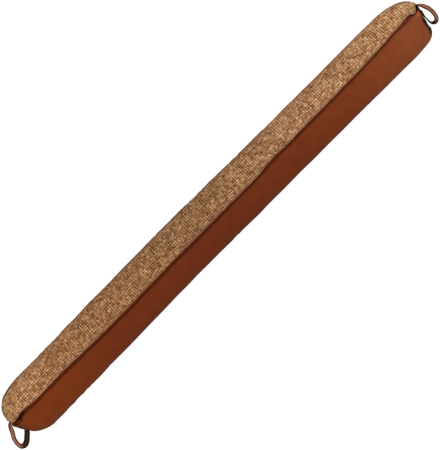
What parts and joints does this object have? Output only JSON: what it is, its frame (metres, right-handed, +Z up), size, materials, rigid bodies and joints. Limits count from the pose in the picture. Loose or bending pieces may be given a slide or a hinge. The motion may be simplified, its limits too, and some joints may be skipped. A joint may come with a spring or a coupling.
{
  "type": "draught excluder",
  "caption": "Long stuffed door draught excluder, coarse woven on one side and smooth leather-look on the other, with drawn-in long seams and a strap loop at each end.",
  "frame": {"origin": "centre of the footprint, on the surface that the object lies on", "axes": "+X along the tube, +Y towards the woven side, -Y towards the leather-look side, +Z up through the upper long seam"},
  "size_m": [0.9458, 0.0936, 0.0811],
  "materials": {
    "woven_fabric": "coarse slubbed plain weave in tan and brown, matt",
    "leather_look": "smooth red-brown leather-look, soft sheen",
    "strap_leather": "folded red-brown leather-look strip"
  },
  "bodies": {
    "root": {"woven_side": "woven_fabric", "leather_side": "leather_look", "left_strap": "strap_leather", "right_strap": "strap_leather"}
  },
  "joints": []
}
